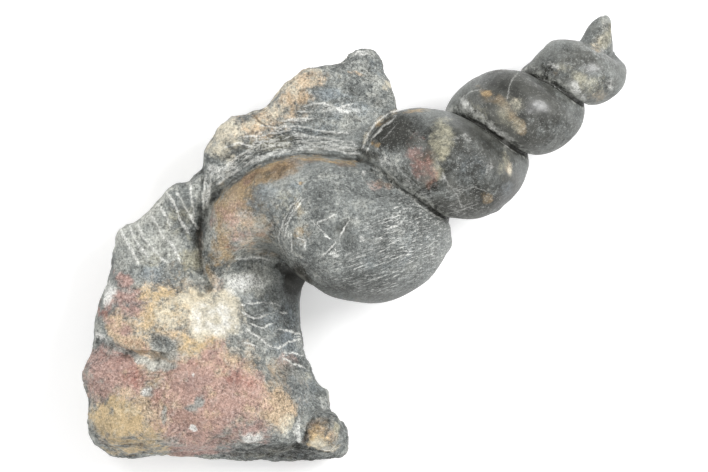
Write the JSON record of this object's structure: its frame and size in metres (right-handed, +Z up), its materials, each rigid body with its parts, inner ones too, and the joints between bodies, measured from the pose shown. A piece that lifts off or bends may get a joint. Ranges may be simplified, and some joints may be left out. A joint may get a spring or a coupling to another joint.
{
  "type": "fossil gastropod mold",
  "caption": "Internal mold of a high-spired fossil sea snail: smooth rounded whorls rise from a rough, colour-stained block of matrix with a thin wing of rock above it.",
  "frame": {"origin": "middle of the stone's bounding box, on the surface that it lies on", "axes": "+Z up, away from the flat back that it rests on; +X towards the tip of the spire; +Y towards the wing of matrix"},
  "size_m": [0.1828, 0.151, 0.0593],
  "materials": {
    "stone": "dark grey limestone, smooth on the whorls and rough on the matrix, with pink, ochre and cream stains"
  },
  "bodies": {
    "root": {"fossil_mold": "stone"}
  },
  "joints": []
}
